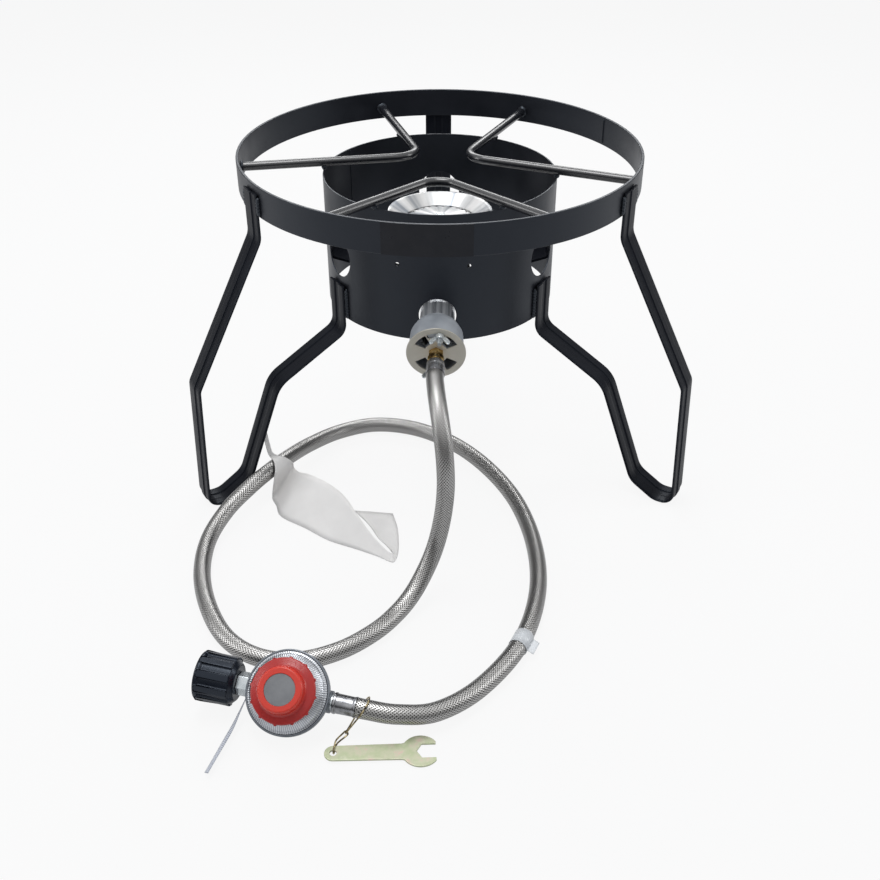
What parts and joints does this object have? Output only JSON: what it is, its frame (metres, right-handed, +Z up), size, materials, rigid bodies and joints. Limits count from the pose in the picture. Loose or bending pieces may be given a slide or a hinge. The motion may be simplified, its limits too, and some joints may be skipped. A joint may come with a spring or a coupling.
{
  "type": "outdoor propane cooker",
  "caption": "Single-burner outdoor propane cooker: pot ring on bent legs, burner in a drum, braided hose, knob regulator, key.",
  "frame": {"origin": "on the floor, on the ring's axis", "axes": "+Z up along the ring's axis; -Y towards the air inlet and the regulator; +X to the right seen from the front"},
  "size_m": [0.5497, 0.8483, 0.358],
  "materials": {
    "black_coat": "satin powder coat",
    "dark_label": "smooth dark label",
    "cast_aluminium": "as cast",
    "grey_casting": "satin die casting",
    "bright_tube": "bright drawn tube",
    "plated_sheet": "satin plated sheet",
    "zinc": "bright zinc plate",
    "brass": "machined brass",
    "bright_steel": "rolled bright steel",
    "steel_braid": "woven wire braid",
    "clear_film": "clear film",
    "black_rubber": "matt",
    "red_plastic": "moulded, slightly glossy",
    "grey_disc": "satin",
    "black_plastic": "moulded, satin",
    "foil_tag": "thin sheet",
    "white_tag": "soft vinyl",
    "yellow_zinc": "yellow zinc plate",
    "wire": "soft wire"
  },
  "bodies": {
    "stand": {"top_ring": "black_coat", "rod_front": "black_coat", "rod_right": "black_coat", "rod_left": "black_coat", "leg_back": "black_coat", "leg_left": "black_coat", "leg_right": "black_coat", "burner_drum": "black_coat", "weld_beads": "black_coat", "ring_label": "dark_label", "burner_casting": "cast_aluminium", "burner_cap": "cast_aluminium", "cap_screw": "zinc", "burner_bracket": "black_coat", "bracket_bolt": "zinc", "burner_tube": "bright_tube", "tube_bell": "grey_casting", "stud_upper": "zinc", "stud_lower": "zinc", "gas_jet": "brass", "hose_nut": "brass", "burner_end_ferrule": "bright_steel", "gas_hose": "steel_braid", "hose_wrap": "clear_film", "regulator_end_ferrule": "bright_steel", "outlet_nipple": "zinc", "regulator_body": "grey_casting", "regulator_bonnet": "grey_casting", "diaphragm": "black_rubber", "spring_seat": "zinc", "adjusting_spring": "zinc", "spring_button": "zinc", "valve_pin": "brass", "inlet_stem": "zinc", "nipple_seal": "black_rubber", "strip_tag": "foil_tag", "hose_tag": "white_tag", "wire_tie": "wire", "wire_link": "wire"},
    "shutter": {"air_shutter": "plated_sheet"},
    "upper_wing_nut": {"wing_nut_upper": "zinc"},
    "lower_wing_nut": {"wing_nut_lower": "zinc"},
    "knob": {"adjusting_screw": "zinc", "adjusting_knob": "red_plastic", "knob_cap": "grey_disc"},
    "hand_nut": {"coupling_nut": "black_plastic"},
    "key": {"key_wrench": "yellow_zinc"}
  },
  "joints": [
    {"name": "shutter_turn", "type": "hinge", "parent": "stand", "child": "shutter", "pos_m": [-0.00395, -0.18865, 0.21098], "axis": [-0.0207, -0.9901, -0.1392], "range_deg": [-28, 8]},
    {"name": "upper_wing_nut_turn", "type": "hinge", "parent": "stand", "child": "upper_wing_nut", "pos_m": [-0.00035, -0.1949, 0.2315], "axis": [-0.0207, -0.9901, -0.1392], "range_deg": [0, 720]},
    {"name": "lower_wing_nut_turn", "type": "hinge", "parent": "stand", "child": "lower_wing_nut", "pos_m": [-0.00769, -0.18885, 0.18956], "axis": [-0.0207, -0.9901, -0.1392], "range_deg": [0, 720]},
    {"name": "knob_turn", "type": "hinge", "parent": "stand", "child": "knob", "pos_m": [-0.1322, -0.4759, 0.03483], "axis": [-0.1093, -0.6198, 0.7771], "range_deg": [-900, 0]},
    {"name": "hand_nut_turn", "type": "hinge", "parent": "stand", "child": "hand_nut", "pos_m": [-0.19509, -0.45396, 0.02894], "axis": [-0.973, 0.2266, 0.0439], "continuous": true},
    {"name": "key_swing", "type": "hinge", "parent": "stand", "child": "key", "pos_m": [-0.0912, -0.5154, 0.0028], "axis": [0.0204, 0.0011, 0.9998], "range_deg": [-75, 3]}
  ]
}
